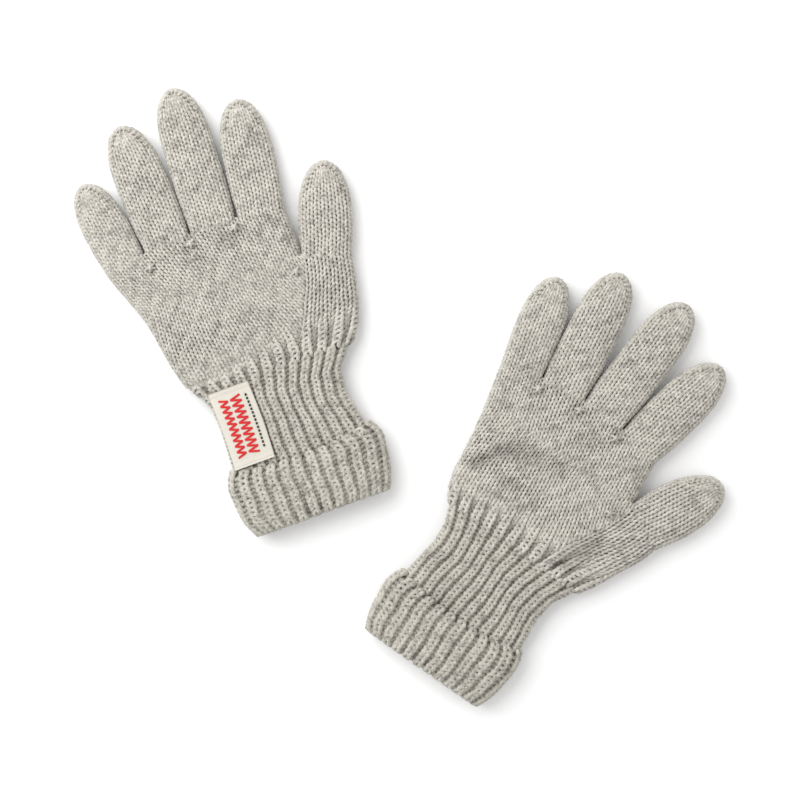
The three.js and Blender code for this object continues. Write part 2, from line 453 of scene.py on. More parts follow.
def all_round(wales):
    """The wale positions of every course that runs once round a tube."""
    return lambda course: wale_sweep(0, wales)


class Yarns:
    """Collects yarn paths, and makes them into one mesh of round tubes.

    Yarn gets full painted shade where it lies as deep as low, and none where it is as high as high."""

    def __init__(self, low=-1.2, high=0.75):
        self.paths = []
        self.low, self.high = low, high

    def add(self, points, normals, radius, depth=0.0):
        self.paths.append((points, normals, radius, depth))

    def courses(self, surface, courses, wales_at, loops, radius_at=lambda course: YARN_RADIUS):
        """Courses of loops. wales_at(course) gives the wales that a course runs through."""
        for course in courses:
            wale = wales_at(course)
            course_at = np.full(len(wale), float(course))
            points, normals, depth = loops(surface, wale, course_at)
            self.add(points, normals, radius_at(course) * (1 + LUMPS * wobble(wale, course_at, 4)), depth)

    def build(self, mesh_data):
        """Adds the tubes to a MeshData. Each path has its own strip of the texture."""
        for strip, (points, normals, radius, depth) in enumerate(self.paths):
            add_tube(mesh_data, points, normals, radius, depth, (self.low, self.high), strip, len(self.paths))


class MeshData:
    """Vertices, quads and their texture places, gathered with numpy."""

    def __init__(self):
        self.points, self.quads, self.bake, self.yarn, self.slots, self.painted_shades = [], [], [], [], [], []
        self.count = 0
        self.liners = 0

    def add(self, points, quads, bake, yarn, slot, shade=0.0):
        self.points.append(points.reshape(-1, 3))
        # shade is each point's painted shade, from 0 to 1
        self.painted_shades.append(np.broadcast_to(shade, points.shape[:-1]).ravel())
        self.quads.append(quads + self.count)
        self.bake.append(bake)
        self.yarn.append(yarn)
        self.slots.append(np.full(len(quads), slot))
        self.count += points.reshape(-1, 3).shape[0]

    def object(self, name, place, materials):
        points = place.out(np.concatenate(self.points))
        quads = np.concatenate(self.quads)
        mesh = bpy.data.meshes.new(name)
        mesh.vertices.add(len(points))
        mesh.vertices.foreach_set("co", points.astype(np.float32).ravel())
        mesh.loops.add(quads.size)
        mesh.loops.foreach_set("vertex_index", quads.astype(np.int32).ravel())
        mesh.polygons.add(len(quads))
        mesh.polygons.foreach_set("loop_start", np.arange(0, quads.size, 4, dtype=np.int32))
        mesh.polygons.foreach_set("loop_total", np.full(len(quads), 4, dtype=np.int32))
        mesh.polygons.foreach_set("material_index", np.concatenate(self.slots).astype(np.int32))
        mesh.polygons.foreach_set("use_smooth", np.ones(len(quads), dtype=bool))
        for layer, values in (("OFBake", self.bake), ("yarn", self.yarn)):
            uv = mesh.uv_layers.new(name=layer)
            uv.data.foreach_set("uv", np.concatenate(values).astype(np.float32).ravel())
        # Each point's painted shade, which darkens the yarn's colour where it lies deep
        shade = mesh.attributes.new("shade", "FLOAT", "POINT")
        shade.data.foreach_set("value", np.concatenate(self.painted_shades).astype(np.float32))
        rest = mesh.attributes.new("rest", "FLOAT_VECTOR", "POINT")
        rest.data.foreach_set("vector", points.astype(np.float32).ravel())
        for material in materials:
            mesh.materials.append(material)
        mesh.update(calc_edges=True)
        obj = bpy.data.objects.new(name, mesh)
        bpy.context.scene.collection.objects.link(obj)
        return obj


def grid_quads(rows, columns, wrap):
    """Quads over a grid of points, whose columns may close on themselves."""
    i, j = np.meshgrid(np.arange(rows - 1), np.arange(columns if wrap else columns - 1), indexing="ij")
    k = (j + 1) % columns
    low, high = i * columns, (i + 1) * columns
    return np.stack([low + j, low + k, high + k, high + j], -1).reshape(-1, 4)


def quad_corners(u0, u1, v0, v1):
    """Texture corners of quads in the order that grid_quads gives them."""
    return np.stack([u0, v0, u0, v1, u1, v1, u1, v0], -1).reshape(-1, 2)


def add_tube(data, points, normals, radius, depth, painted_shade_range, strip, strips):
    """A round yarn along a path, with closed ends."""
    count = len(points)
    along = np.roll(points, -1, 0) - np.roll(points, 1, 0)
    along[0] = points[1] - points[0]
    along[-1] = points[-1] - points[-2]
    along = unit(along)
    side = unit(np.cross(along, normals))
    up = np.cross(side, along)
    angle = TURN * (np.arange(YARN_SIDES) + 0.5) / YARN_SIDES
    radii = np.broadcast_to(radius, (count,))
    ring = np.cos(angle)[None, :, None] * side[:, None] + np.sin(angle)[None, :, None] * up[:, None]
    shell = points[:, None] + ring * radii[:, None, None]
    # Painted shade: the deeper a point lies in the fabric, the darker its colour is painted
    height = np.broadcast_to(depth, (count,))[:, None] + np.sin(angle) * radii[:, None]
    shade = np.clip((painted_shade_range[1] - height) / (painted_shade_range[1] - painted_shade_range[0]), 0, 1)
    cap = 0.55 * radii[0]
    first, last = points[0] - along[0] * cap, points[-1] + along[-1] * cap
    shell = np.concatenate([np.repeat(first[None, None], YARN_SIDES, 1), shell,
                            np.repeat(last[None, None], YARN_SIDES, 1)])
    shade = np.concatenate([shade[:1], shade, shade[-1:]])
    length = lengths_along(points)
    length = np.concatenate([[-cap], length, [length[-1] + cap]])
    rows = len(shell)
    quads = grid_quads(rows, YARN_SIDES, True)
    i, j = np.meshgrid(np.arange(rows - 1), np.arange(YARN_SIDES), indexing="ij")
    i, j = i.ravel(), j.ravel()
    total = max(length[-1] - length[0], 1e-6)
    u0 = (length[i] - length[0]) / total
    u1 = (length[i + 1] - length[0]) / total
    v0, v1 = j / YARN_SIDES, (j + 1) / YARN_SIDES
    edge = 0.04
    low, high = YARN_BAND * (strip + edge) / strips, YARN_BAND * (strip + 1 - edge) / strips
    bake = quad_corners(u0, u1, low + (high - low) * v0, low + (high - low) * v1)
    shift = 37.0 * strip
    yarn = quad_corners(length[i] + shift, length[i + 1] + shift, v0, v1)
    data.add(shell, quads[:, ::-1], bake.reshape(-1, 4, 2)[:, ::-1].reshape(-1, 2),
             yarn.reshape(-1, 4, 2)[:, ::-1].reshape(-1, 2), 0, shade)


# ---------------------------------------------------------------- materials

def linear(red, green, blue):
    """A colour picked on screen, as the renderer's linear light."""
    def one(c):
        c /= 255
        return c / 12.92 if c <= 0.04045 else ((c + 0.055) / 1.055) ** 2.4
    return (one(red), one(green), one(blue), 1.0)


class Material:
    """A material built node by node. What each node takes is a value or another node's output."""

    def __init__(self, name):
        self.result = bpy.data.materials.new(name)
        self.result.use_nodes = True
        tree = self.result.node_tree
        self.nodes, self.links = tree.nodes, tree.links
        self.shader = self.nodes["Principled BSDF"]

    def give(self, node, inputs):
        for key, value in inputs.items():
            if isinstance(value, bpy.types.NodeSocket):
                self.links.new(value, node.inputs[key])
            else:
                node.inputs[key].default_value = value

    def add(self, kind, output, inputs, **settings):
        """A new node's output."""
        node = self.nodes.new(f"ShaderNode{kind}")
        for key, value in settings.items():
            setattr(node, key, value)
        self.give(node, inputs)
        return node.outputs[output]

    def layer(self, name):
        return self.add("UVMap", "UV", {}, uv_map=name)

    def attribute(self, name, output="Vector"):
        return self.add("Attribute", output, {}, attribute_name=name)

    def scaled(self, vector, scale):
        return self.add("Mapping", "Vector", {"Vector": vector, "Scale": scale})

    def noise(self, vector, scale, detail, **more):
        return self.add("TexNoise", "Fac", {"Vector": vector, "Scale": scale, "Detail": detail, **more})

    def math(self, operation, *values):
        return self.add("Math", 0, dict(enumerate(values)), operation=operation)

    def mix(self, factor, a, b, **settings):
        return self.add("Mix", "Result", {"Factor": factor, "A": a, "B": b}, data_type="RGBA", **settings)

    def ramp(self, factor, *stops):
        """A ramp of colours, each stop being its place and colour."""
        colour = self.add("ValToRGB", "Color", {"Fac": factor})
        elements = colour.node.color_ramp.elements
        for element, (position, shade) in zip(elements, (stops[0], stops[-1])):
            element.position, element.color = position, shade
        for position, shade in stops[1:-1]:
            elements.new(position).color = shade
        return colour

    def bump(self, height, strength, distance):
        return self.add("Bump", "Normal", {"Height": height, "Strength": strength, "Distance": distance})

    def finish(self, colour, roughness, **more):
        """The material itself, with its surface's colour, roughness and other values."""
        self.give(self.shader, {"Base Color": colour, "Roughness": roughness, **more})
        return self.result


# The dark grey that painted shade multiplies deep-lying yarn towards
PAINTED_SHADE_COLOUR = (0.31, 0.3, 0.27, 1.0)
FIBRE_SCALE = (0.5, 5.0, 1.0)
FIBRE_SHARE = 0.62
HAIR_SCALE = (2.2, 14.0, 1.0)
PLIES = 2
PLY_LENGTH = 1.5
PLY_RELIEF = 0.28
BAND_SCALE = (3.0, 14.0, 1.0)
BAND_SPREAD = (60, 60, 60)
BAND_STRENGTH = 0.2


def yarn_material(name, light, dark, fleck):
    """Heather wool: light and dark fibres drawn out along the yarn, twisted plies and a soft sheen. Where the
    yarn lies deep, its colour is darkened as painted shade.
    """
    wool = Material(name)
    yarn, rest = wool.layer("yarn"), wool.attribute("rest")

    fibres_at = wool.scaled(yarn, FIBRE_SCALE)
    fibres = wool.noise(fibres_at, 1.0, 3.0)
    clouds = wool.noise(rest, 210.0, 4.0, Roughness=0.65)
    blend = wool.math("MULTIPLY_ADD", fibres, FIBRE_SHARE, wool.math("MULTIPLY", clouds, 1 - FIBRE_SHARE))

    stretched = wool.scaled(wool.layer("OFBake"), BAND_SCALE)
    bands_at = wool.add("VectorMath", 0, {0: rest, 1: BAND_SPREAD, 2: stretched}, operation="MULTIPLY_ADD")
    banded = wool.math("MULTIPLY_ADD", wool.noise(bands_at, 1.0, 1.0), BAND_STRENGTH, blend)
    middle = [a * 0.35 + b * 0.65 for a, b in zip(dark, light)]
    tone = wool.math("SUBTRACT", banded, BAND_STRENGTH / 2)
    colour = wool.ramp(tone, (0.34, dark), (0.47, middle), (0.56, light))

    flecks = wool.noise(fibres_at, 1.9, 1.0)
    picked = wool.add("MapRange", "Result", {
        "Value": flecks, "From Min": 0.62, "From Max": 0.72, "To Max": 0.55,
    })
    flecked = wool.mix(picked, colour, fleck)
    # Painted shade: deep-lying yarn's colour is multiplied towards a dark grey
    with_painted_shade = wool.mix(wool.attribute("shade", "Fac"), flecked, PAINTED_SHADE_COLOUR, blend_type="MULTIPLY")

    split = wool.add("SeparateXYZ", 0, {"Vector": yarn}).node.outputs
    lay = wool.math("MULTIPLY_ADD", split["X"], 1 / PLY_LENGTH, split["Y"])
    plies = wool.math("SINE", wool.math("MULTIPLY", lay, PLIES * TURN))
    hairs = wool.noise(wool.scaled(yarn, HAIR_SCALE), 1.0, 2.0)
    relief = wool.bump(wool.math("MULTIPLY_ADD", plies, PLY_RELIEF, hairs), 0.55, 0.00035)
    return wool.finish(with_painted_shade, 0.93, Normal=relief, **{
        "Sheen Weight": 0.25, "Sheen Roughness": 0.6, "Specular IOR Level": 0.15,
    })


def thread_material(name, light, dark, along, across):
    """Fine cotton: threads that cross, in two close shades. along and across are threads a millimetre."""
    cotton = Material(name)
    thread = cotton.layer("yarn")
    split = cotton.add("SeparateXYZ", 0, {"Vector": thread}).node.outputs
    waves = [cotton.math("SINE", cotton.math("MULTIPLY", split[axis], TURN * rate))
             for axis, rate in (("X", along), ("Y", across))]
    weave = cotton.math("MULTIPLY_ADD", *waves, 0.5)
    shade = cotton.math("MULTIPLY_ADD", weave, 0.35, cotton.noise(thread, 0.7, 4.0))
    return cotton.finish(cotton.mix(shade, dark, light), 0.85, Normal=cotton.bump(weave, 0.35, 0.00015),
                         **{"Specular IOR Level": 0.2})


def painted_shade_liner_material():
    """The inside of the loops, seen between them, in a dark grey painted as their shade."""
    inside = Material("knit_painted_shade")
    noise = inside.noise(inside.attribute("rest"), 400.0, 3.0)
    colour = inside.ramp(noise, (0.0, linear(100, 97, 90)), (1.0, linear(126, 122, 114)))
    return inside.finish(colour, 0.95, Normal=inside.bump(noise, 0.5, 0.0004))


HEATHER = yarn_material("heather_wool", linear(203, 199, 189), linear(135, 131, 123), linear(99, 96, 89))
RIBBED = yarn_material("ribbed_wool", linear(193, 189, 178), linear(126, 122, 113), linear(90, 87, 79))
# The liner's dark grey is painted shade, seen between the loops
PAINTED_SHADE_LINER = painted_shade_liner_material()
LABEL_CLOTH_MATERIAL = thread_material("label_weave", linear(212, 208, 197), linear(196, 191, 178), 2.0, 1.8)
RED_THREAD = thread_material("red_thread", linear(222, 62, 62), linear(196, 44, 48), 0.6, 5.0)
DARK_THREAD = thread_material("dark_thread", linear(74, 72, 68), linear(48, 46, 43), 0.6, 5.0)
CREAM_THREAD = thread_material("cream_thread", linear(228, 223, 208), linear(205, 199, 184), 0.6, 5.0)


# ---------------------------------------------------------------- fabric pieces

def even_wales(wales, steps=2):
    """The same wales at every course, with some steps to each."""
    return lambda course: np.linspace(0, wales, steps * wales, endpoint=False)


def add_liner(data, surface, courses, wales_at, sink=LINER_SINK, lie=None):
    """The fabric's own thickness behind the loops, as a thin closed shell, so no light leaks through it. Its
    material is a dark grey painted as the shade between the loops.

    Where lie says how the fabric rises and sinks, the shell follows it."""
    w = np.array([wales_at(course) for course in courses])
    c = np.repeat(np.asarray(courses, float)[:, None], w.shape[1], axis=1)
    rise = 0.0
    if lie:
        w, rise = lie(surface, w, c)
        rise = rise[..., None]
    out = surface.normal(w, c)
    points = surface.at(w, c) + out * rise
    outer = points - out * sink
    inner = points - out * (sink + LINER_THICKNESS)
    shell = np.concatenate([outer, inner[::-1], outer[:1]])
    columns = shell.shape[1]
    quads = grid_quads(len(shell), columns, True)
    i, j = np.divmod(np.arange(len(quads)), columns)
    band = LINER_BAND * data.liners
    low, high = (1 - band - LINER_BAND * 0.95 * row / len(shell) for row in (i, i + 1))
    bake = quad_corners(j / columns, (j + 1) / columns, low, high)
    data.liners += 1
    data.add(shell, quads, bake, bake, 1)


def knit_object(name, place, material, yarns, liner):
    """One piece of fabric: its yarns, and the liner that liner(data) adds."""
    data = MeshData()
    yarns.build(data)
    if liner:
        liner(data)
    return data.object(name, place, [material, PAINTED_SHADE_LINER])


def make_floor():
    bpy.ops.mesh.primitive_plane_add(size=FLOOR_SIZE, location=(0, 0, FLOOR_Z))
    floor = bpy.context.object
    floor.name = "floor"
    floor.data.materials.append(Material("white_paper").finish(PAPER, 0.9))


def make_camera():
    camera = bpy.data.cameras.new("camera")
    camera.lens = LENS
    camera.sensor_width = SENSOR
    obj = bpy.data.objects.new("camera", camera)
    obj.location = (*CAMERA_XY, VIEW_WIDTH * LENS / SENSOR)
    bpy.context.scene.collection.objects.link(obj)
    bpy.context.scene.camera = obj


def make_lights():
    scene = bpy.context.scene
    world = bpy.data.worlds.new("studio")
    world.use_nodes = True
    world.node_tree.nodes["Background"].inputs["Color"].default_value = (1, 1, 1, 1)
    world.node_tree.nodes["Background"].inputs["Strength"].default_value = WORLD_STRENGTH
    scene.world = world
    for name, place, size, power in LAMPS:
        lamp = bpy.data.lights.new(name, "AREA")
        lamp.size = size
        lamp.energy = power
        obj = bpy.data.objects.new(name, lamp)
        obj.location = place
        obj.rotation_euler = (-Vector(place)).to_track_quat("-Z", "Y").to_euler()
        scene.collection.objects.link(obj)
    scene.view_settings.view_transform = "Standard"


# ---------------------------------------------------------------- digits

def digit_shape(side, digit):
    """A digit's place and sizes, from its hinge and its CAD tube."""
    node = f"{side}_{digit}"
    place = place_at(f"{node}_flex", node)
    low, high = node_box(node, place)
    return {
        "place": place,
        "width": high[0] - low[0],
        "depth": high[2],
        "reach": node_box(f"{node}_tip_link", place)[1][1],
        "joined": (digit != "pinky", digit not in ("index", "thumb")),
    }


def digit_narrowing(shape, y):
    """How much of its width and of its depth a digit has at a height y. Both close in at the tip."""
    cap = TIP_LENGTH * shape["width"]
    top = shape["reach"] - TIP_SKIN
    over = np.clip((y - (top - cap)) / cap, 0, 1)
    fuller = 1 + DIGIT_BULGE * smooth((top - y - 0.5 * cap) / cap) * smooth(y / KNUCKLE_LENGTH)
    return fuller * np.sqrt(1 - over ** TIP_POINT), TIP_EDGE + (1 - TIP_EDGE) * (1 - over ** 2.6) ** 0.55


def digit_surface(shape, seed):
    """The middle of the fabric of a digit's tube, as a Surface, and how many courses it has."""
    length = shape["reach"] - TIP_SKIN
    courses = int(round(length / COURSE))
    half_width = shape["width"] / 2 - SIDE_SKIN
    half_depth = shape["depth"] / 2 - SKIN
    grid = []
    for course in range(-2, courses + 1):
        y = course * length / courses
        narrow, thin = digit_narrowing(shape, y)
        square = (1 - smooth(y / BASE_BLEND)) * np.array(shape["joined"])
        edges = SIDE_CURVE + (BASE_CURVE - SIDE_CURVE) * square
        x, z = section(max(half_width * narrow, 0.5), half_depth * thin, FINGER_WALES * GRID_PER_WALE, edges)
        wave = 0.35 * swell(x * 2 + 31 * seed, np.full_like(x, 2 * y), seed) * np.sign(z) * narrow
        z = z * (1 + BASE_FULLNESS * (1 - smooth(y / KNUCKLE_LENGTH)))
        grid.append(np.stack([x, np.full_like(x, y), shape["depth"] / 2 + z + np.maximum(wave, -0.3)], -1))
    return Surface(np.array(grid), -2, 2 * FINGER_WALES), courses


def digit_piece(side, digit, seed):
    """One knitted finger or thumb tube, closed at its tip."""
    node = f"{side}_{digit}"
    shape = digit_shape(side, digit)
    place = shape["place"]
    surface, courses = digit_surface(shape, seed)
    yarns = Yarns()
    yarns.courses(surface, np.arange(0.5, courses - 0.4), all_round(2 * FINGER_WALES), plain_loops,
                  lambda course: DIGIT_YARN)
    liner_courses = np.linspace(-0.3, courses - 0.4, courses)
    piece = knit_object(
        f"{node}_knit", place, HEATHER, yarns,
        lambda data: add_liner(data, surface, liner_courses, even_wales(2 * FINGER_WALES)),
    )
    tuple(place.out([0, 0, 0]))
    tuple(place.out([0, KNUCKLE_LENGTH, 0]))
    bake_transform(piece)
    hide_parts(node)


def tip_link_piece(side, digit):
    """The whipped stitches that close a fingertip, one after another over its edge."""
    node = f"{side}_{digit}"
    shape = digit_shape(side, digit)
    place = shape["place"]
    top = shape["reach"] - TIP_SKIN
    cap = TIP_LENGTH * shape["width"]
    height = np.linspace(top - cap * 0.75, top, 200)
    half = (shape["width"] / 2 - SIDE_SKIN) * digit_narrowing(shape, height)[0]
    rim = np.concatenate([np.stack([-half, height], -1), np.stack([half[::-1], height[::-1]], -1)])
    length = lengths_along(rim)
    count = int(length[-1] / TIP_STITCH)
    inset = np.array(TIP_INSETS)
    across = np.linspace(-1, 1, len(inset))
    yarns = Yarns()
    for i in range(count):
        at = (i + 0.5) / count * length[-1]
        spot, back, ahead = (
            np.array([np.interp(a, length, rim[:, 0]), np.interp(a, length, rim[:, 1])])
            for a in (at, at - 0.5, at + 0.5)
        )
        run = (ahead - back) / np.linalg.norm(ahead - back)
        out = np.array([-run[1], run[0]])
        flat = spot - out * (inset - TIP_PROUD)[:, None] + run * (0.75 * across)[:, None]
        narrow, thin = digit_narrowing(shape, flat[:, 1])
        reach = np.maximum((shape["width"] / 2 - SIDE_SKIN) * narrow, 0.5)
        curve = np.minimum(SIDE_CURVE, reach)
        inside = np.clip((np.abs(flat[:, 0]) - reach + curve) / curve, 0, 1)
        inside = (1 - inside**SECTION_POWER) ** (1 / SECTION_POWER)
        rise = (shape["depth"] / 2 - SKIN) * thin * inside + 1.0 * np.minimum(1, 3 * np.abs(across))
        points = np.column_stack([flat, shape["depth"] / 2 + np.sign(across) * rise])
        normals = np.column_stack([(1 - np.abs(across))[:, None] * out, across])
        radius = TIP_YARN * (1 - 0.35 * np.abs(across) ** 4)
        # Painted shade darkens each stitch towards its ends, where it goes into the fabric
        yarns.add(points, normals, radius, 1.0 - 3.4 * np.abs(across) ** 3)
    piece = knit_object(f"{node}_tip_stitches", place, HEATHER, yarns, None)
    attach(piece, node)
    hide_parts(f"{node}_tip_link")


# ---------------------------------------------------------------- hand

class Glove:
    """One glove's own frame and the outlines of its hand, wrist and cuff. y is 0 where the hand starts."""

    def __init__(self, side, seed):
        self.side = side
        self.seed = seed
        self.place = place_at(f"{side}_wrist_flex", f"{side}_hand")
        self.bottom, self.top, self.low, self.high, self.heights, self.sides = ({} for _ in range(6))
        for part in PARTS:
            node = f"{side}_{part}"
            low, high = node_box(node, self.place)
            self.bottom[part], self.low[part] = low[1:]
            self.top[part], self.high[part] = high[1:]
            self.heights[part] = np.linspace(self.bottom[part] + 0.3, self.top[part] - 0.3, 60)
            self.sides[part] = sides_at(node_triangles(node, self.place), self.heights[part])
        self.bases = {digit: self.base_line(digit) for digit in DIGITS}

    def base_line(self, digit):
        """The little-finger end and the thumb end of the line that a digit starts from."""
        shape = digit_shape(self.side, digit)
        ends = shape["place"].out([[-shape["width"] / 2, 0, 0], [shape["width"] / 2, 0, 0]])
        return self.place.into(ends)[:, :2]

    def side_x(self, part, y):
        """x of a part's little-finger side and thumb side at height y."""
        return tuple(np.interp(y, self.heights[part], self.sides[part][:, k]) for k in (0, 1))

    def middle_and_half_depth(self, y):
        """Height of the middle of the hand and wrist above the floor, and half their depth, at height y."""
        share = float(smooth((y - DEEPENS[0]) / (DEEPENS[1] - DEEPENS[0])))
        ends = []
        for part in ("wrist", "hand"):
            ends.append(((self.low[part] + self.high[part]) / 2, (self.high[part] - self.low[part]) / 2))
        return [a + (b - a) * share for a, b in zip(*ends)]


def along_line(points, share):
    """Points at shares of the way along a chain of points, evenly by number and not by length."""
    points = np.asarray(points, float)
    at = np.linspace(0, 1, len(points))
    return np.stack([np.interp(share, at, points[:, k]) for k in (0, 1)], -1)


class LowHand:
    """The hand below the thumb's crotch, as its own wales and then the thumb gusset's.

    Both rise from the ribs. The hand's new wales start at its little-finger side and along the seam that
    runs from the ribs to the crotch. Beside the thumb, courses end at the line that it starts from."""

    def __init__(self, glove, courses):
        crotch, thumb_end = glove.bases["thumb"]
        self.all_wales = HAND_WALES + THUMB_WALES
        wales = np.linspace(0, self.all_wales, self.all_wales * GRID_PER_WALE + 1)
        thumb_lean = digit_shape(glove.side, "thumb")["place"].y @ glove.place.x
        rows = []
        for course in range(-3, courses + 2):
            y = crotch[1] * course / courses
            left = glove.side_x("hand", max(y, 0.5))[0] + SIDE_SKIN
            beside = min(max(y, 0.5), thumb_end[1] - 0.8)
            right = glove.side_x("hand", beside)[1] - SIDE_SKIN + max(y - beside, 0) * thumb_lean
            middle, half_depth = glove.middle_and_half_depth(y)
            tucked = (RIB_SKIN - SKIN) * (1 - float(smooth(y / KNUCKLE_LENGTH)))
            ring = (right - left) / 2 - 0.4 * tucked, half_depth - SKIN - tucked
            rows.append((y, (left + right) / 2, (right - left) / 2, middle, ring, front_length(*ring)))
        y, centre, half_width, middle, ring, arc = rows[3]
        at_ribs = centre - arc / 2 + (wales - SIDE_WALES) * arc / RIB_WALES
        seam_at_ribs = centre + arc / 2 - THUMB_WALES * arc / RIB_WALES
        lean_left, lean_right = (np.array(glove.side_x("wrist", -1)) - glove.side_x("wrist", -7)) / 6
        lean = lean_left + (lean_right - lean_left) * (wales - SIDE_WALES) / RIB_WALES
        y, centre, half_width, middle, ring, arc = rows[3 + courses]
        at_top = centre - arc / 2 + wales / HAND_WALES * (crotch[0] - centre + arc / 2)
        gusset = (wales - HAND_WALES) / THUMB_WALES
        grid, self.spans = [], []
        for y, centre, half_width, middle, ring, arc in rows:
            share = min(max(y / crotch[1], 0), 1)
            rise = smooth(share)
            wale_x = at_ribs + (at_top - at_ribs) * rise + lean * crotch[1] * share * (1 - share) ** 2
            seam = seam_at_ribs + (crotch[0] - seam_at_ribs) * rise - centre + arc / 2
            own = np.minimum(wale_x - centre + arc / 2, seam)
            arcs = np.where(gusset < 0, own, seam + gusset * (arc - seam))
            x, z = section_at(*ring, arcs)
            x += centre
            end = float(self.all_wales)
            if y > thumb_end[1]:
                down = (y - crotch[1]) / (thumb_end[1] - crotch[1])
                start_x = crotch[0] + down * (thumb_end[0] - crotch[0])
                end = float(np.interp(start_x, x, wales))
                x = np.minimum(x, start_x + SEAM_OVERLAP)
            inside = gusset < 0
            self.spans.append((np.interp(0, own[inside], wales[inside]),
                               np.interp(seam, wale_x[inside] - centre + arc / 2, wales[inside]), end))
            x, z = np.concatenate([x, x[-2::-1]]), np.concatenate([z, -z[-2::-1]])
            flat = np.column_stack([x, np.full(len(x), y)])
            share = (x - centre) / half_width / 2 + 0.5
            grid.append(np.column_stack([flat, middle + z + hand_relief(glove, flat, share, z)]))
        self.surface = Surface(np.array(grid), -3, 2 * self.all_wales)

    def front(self, course):
        """The wales that a course runs through, over the front from the little-finger side."""
        rows = np.arange(len(self.spans))
        first, seam, last = (np.interp(course + 3, rows, span) for span in np.array(self.spans).T)
        own = wale_sweep(first, seam)
        return np.concatenate([own, wale_sweep(HAND_WALES, max(last, HAND_WALES + 0.2))])

    def back(self, course):
        return 2 * self.all_wales - self.front(course)[::-1]

    def round(self, course, fronts=140):
        """Wales evenly round the whole hand at a course."""
        front = self.front(course)
        front = np.interp(np.linspace(0, len(front) - 1, fronts), np.arange(len(front)), front)
        return np.concatenate([front, 2 * self.all_wales - front[::-1]])


def high_hand_surface(glove, first, last):
    """The hand above the thumb's crotch, up to the line of the knuckles."""
    crotch = glove.bases["thumb"][0]
    inset = np.array([SIDE_SKIN, 0])
    start = [np.array([glove.side_x("hand", crotch[1])[0], crotch[1]]) + inset, crotch - inset * 0.3]
    bases = [glove.bases[finger] for finger in FINGERS]
    end = [bases[0][0] + inset]
    end += [(a[1] + b[0]) / 2 for a, b in zip(bases, bases[1:])]
    end += [bases[3][1] - inset]
    fronts = HAND_WALES * GRID_PER_WALE
    grid = []
    for course in range(first - 2, last + 2):
        f = (course - first) / (last - first)
        middle, half_depth = glove.middle_and_half_depth(crotch[1])
        widths = [np.linalg.norm(line[-1] - line[0]) for line in (start, end)]
        half_width = widths[0] / 2 * (1 - f) + widths[1] / 2 * f
        x, z = section(half_width, half_depth - SKIN, fronts)
        share = (x + half_width) / (2 * half_width)
        flat = along_line(start, share) * (1 - f) + along_line(end, share) * f
        grid.append(np.column_stack([flat, middle + z + hand_relief(glove, flat, share, z)]))
    return Surface(np.array(grid), first - 2, 2 * HAND_WALES)


def fold(x, y, line, width, height):
    """A soft ridge, or a valley where its height is negative, along a line of points."""
    near = np.full(len(x), 1e9)
    for (x0, y0), (x1, y1) in zip(line, line[1:]):
        run = (x1 - x0) ** 2 + (y1 - y0) ** 2
        t = np.clip(((x - x0) * (x1 - x0) + (y - y0) * (y1 - y0)) / run, 0, 1)
        near = np.minimum(near, np.hypot(x - x0 - t * (x1 - x0), y - y0 - t * (y1 - y0)))
    return height * np.exp(-((near / width) ** 2))


def folds_at(glove, x, y):
    """The height of all the folds of a hand's upper fabric, which fade out where the ribs begin."""
    return smooth(y / FOLD_FADE) * sum((fold(x, y, *each) for each in FOLDS[glove.side]), np.zeros(len(x)))


def in_folds(glove, loops):
    """The same loops, but the upper fabric's yarn gets painted shade in the folds, as if it lay deeper."""
    def path(surface, wale, course):
        points, out, depth = loops(surface, wale, course)
        valley = np.minimum(folds_at(glove, points[:, 0], points[:, 1]), 0)
        return points, out, depth + FOLD_PAINTED_SHADE * valley * (out[:, 2] > 0)
    return path


def hand_relief(glove, flat, share, z):
    """How far the hand's fabric rises from a plain section: slack, folds and the dips between the fingers."""
    x, y = flat[:, 0], flat[:, 1]
    inside = np.minimum(1, 12 * share * (1 - share))
    slack = HAND_SLACK * swell(x, y, glove.seed)
    dips = np.zeros(len(x))
    for a, b in zip(FINGERS, FINGERS[1:]):
        gap = (glove.bases[a][1] + glove.bases[b][0]) / 2
        dips += DIP_DEPTH * np.exp(-(((x - gap[0]) / DIP_WIDTH) ** 2) - ((y - gap[1] - 1) / DIP_LENGTH) ** 2)
    folds = folds_at(glove, x, y)
    return np.where(z >= 0, inside * (slack + folds) - dips, dips - inside * np.minimum(0.4 * slack, 0))


def hand_pieces(glove):
    """The hand's upper and lower fabric."""
    side, place = glove.side, glove.place
    crotch_y = glove.bases["thumb"][0][1]
    knuckle_y = np.mean([glove.bases[finger][:, 1].mean() for finger in FINGERS[1:]])
    split = int(round(crotch_y / COURSE))
    last = split + int(round((knuckle_y - crotch_y) / COURSE))
    low, high = LowHand(glove, split), high_hand_surface(glove, split, last)
    faces = ("back", "palm") if side == "left" else ("palm", "back")
    gathered = gathers(GATHERS[side])

    def thinning(course):
        return YARN_RADIUS + (RIB_YARN - YARN_RADIUS) * (1 - smooth((course - 3) / GATHER_END))

    for face, low_ends, turn in zip(faces, (low.front, low.back), (0, 1)):
        yarns = Yarns()
        yarns.courses(low.surface, np.arange(0.5, split), low_ends, in_folds(glove, gathered_loops(gathered)),
                      thinning)
        yarns.courses(high, np.arange(split + 0.5, last),
                      lambda course: wale_sweep(turn * HAND_WALES, (turn + 1) * HAND_WALES),
                      in_folds(glove, plain_loops))

        def liners(data, turn=turn):
            if turn == 0:
                add_liner(data, low.surface, np.linspace(0, split + 0.2, split), low.round, HAND_SINK,
                          gathered)
                add_liner(data, high, np.linspace(split - 0.6, last + 0.2, last - split + 2),
                          even_wales(2 * HAND_WALES), HAND_SINK)

        piece = knit_object(f"{side}_hand_{face}_knit", place, HEATHER, yarns, liners)
        tuple(place.out([0, 0, 0]))
        tuple(place.out([0, KNUCKLE_LENGTH, 0]))
        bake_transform(piece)
        if turn == 0:
            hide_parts(f"{side}_hand")


# ---------------------------------------------------------------- wrist and cuff

